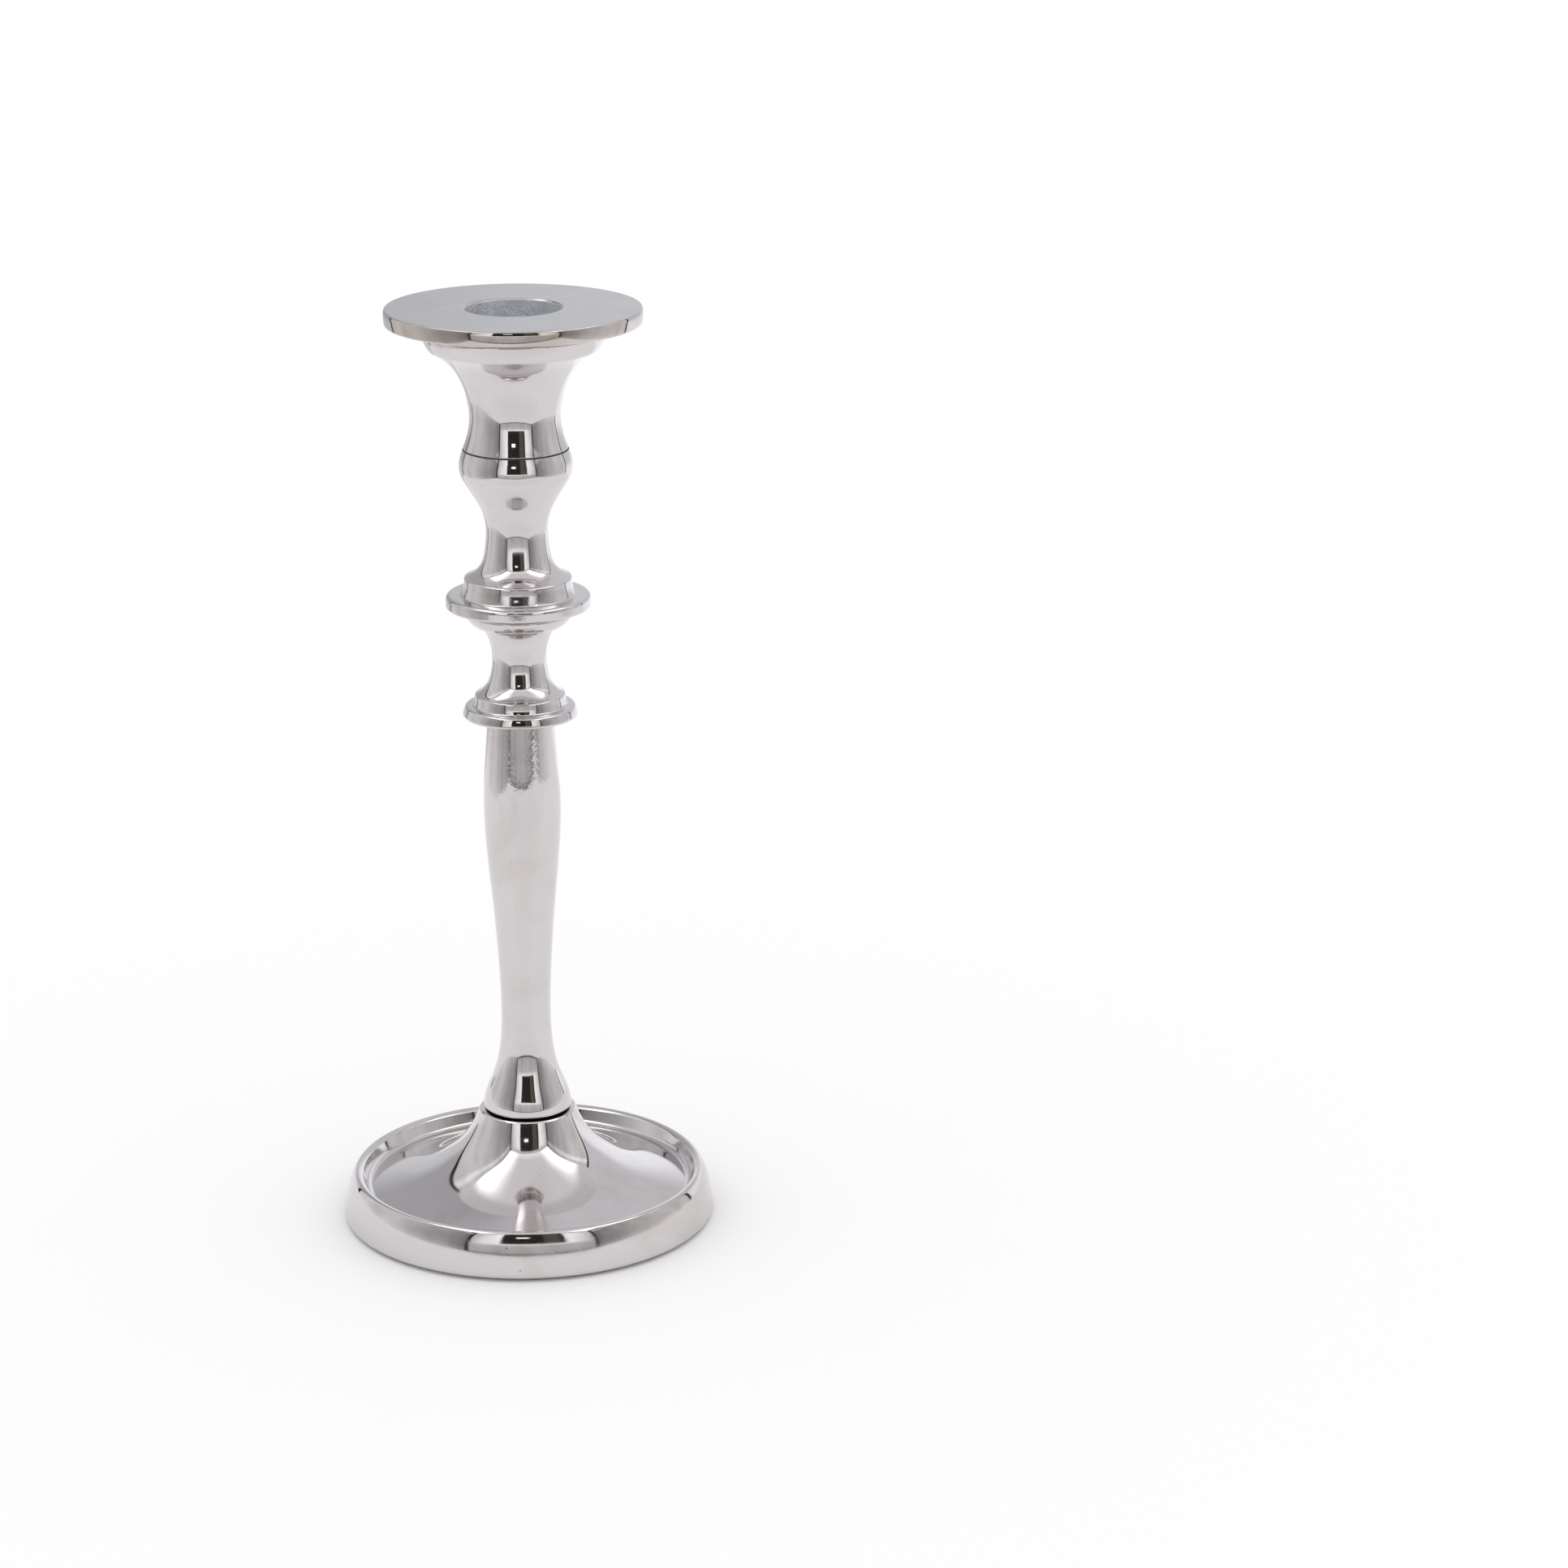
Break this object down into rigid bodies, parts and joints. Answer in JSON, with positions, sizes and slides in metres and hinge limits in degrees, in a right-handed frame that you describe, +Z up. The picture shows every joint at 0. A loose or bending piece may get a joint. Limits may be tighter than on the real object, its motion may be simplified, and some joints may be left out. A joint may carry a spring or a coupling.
{
  "type": "candlestick",
  "caption": "Tall turned metal candlestick: flat top plate with a candle socket, knops and collars, slender baluster stem and a round wax dish foot.",
  "frame": {"origin": "centre of the felt's underside, where the candlestick stands", "axes": "+Z up along the axis of revolution, out of the candle socket's mouth"},
  "size_m": [0.0902, 0.0902, 0.225],
  "materials": {
    "polished_nickel": "cast aluminium, nickel plated and polished",
    "zinc_steel": "zinc plated steel",
    "hardboard": "plain brown hardboard",
    "felt": "dark felt"
  },
  "bodies": {
    "root": {"foot": "polished_nickel", "stem": "polished_nickel", "knop_section": "polished_nickel", "candle_cup": "polished_nickel", "tie_rod": "zinc_steel", "washer": "zinc_steel", "spring_washer": "zinc_steel", "nut": "zinc_steel", "base_board": "hardboard", "felt_pad": "felt"}
  },
  "joints": []
}
